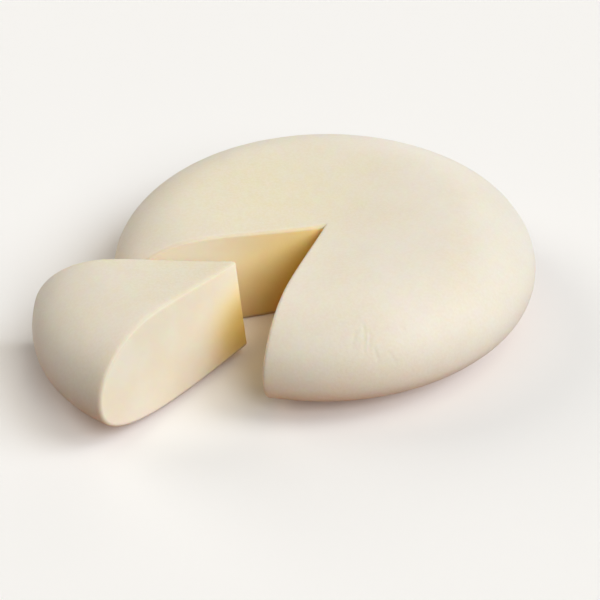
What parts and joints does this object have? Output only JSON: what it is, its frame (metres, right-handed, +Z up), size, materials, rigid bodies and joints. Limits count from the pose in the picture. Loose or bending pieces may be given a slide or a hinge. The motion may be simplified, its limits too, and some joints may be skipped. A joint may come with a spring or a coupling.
{
  "type": "round sheep cheese",
  "caption": "Low round sheep's milk cheese with a smooth ivory rind, a wedge cut out to the middle, and the wedge lying beside the notch.",
  "frame": {"origin": "on the round's axis, in the plane of the small flat spot that it rests on", "axes": "+Z up along the round's axis; the notch opens towards -X and -Y, with its upright edge close to the axis"},
  "size_m": [0.3253, 0.3021, 0.0708],
  "materials": {
    "cheese": "satin"
  },
  "bodies": {
    "root": {"cheese_wheel": "cheese", "cheese_wedge": "cheese"}
  },
  "joints": []
}
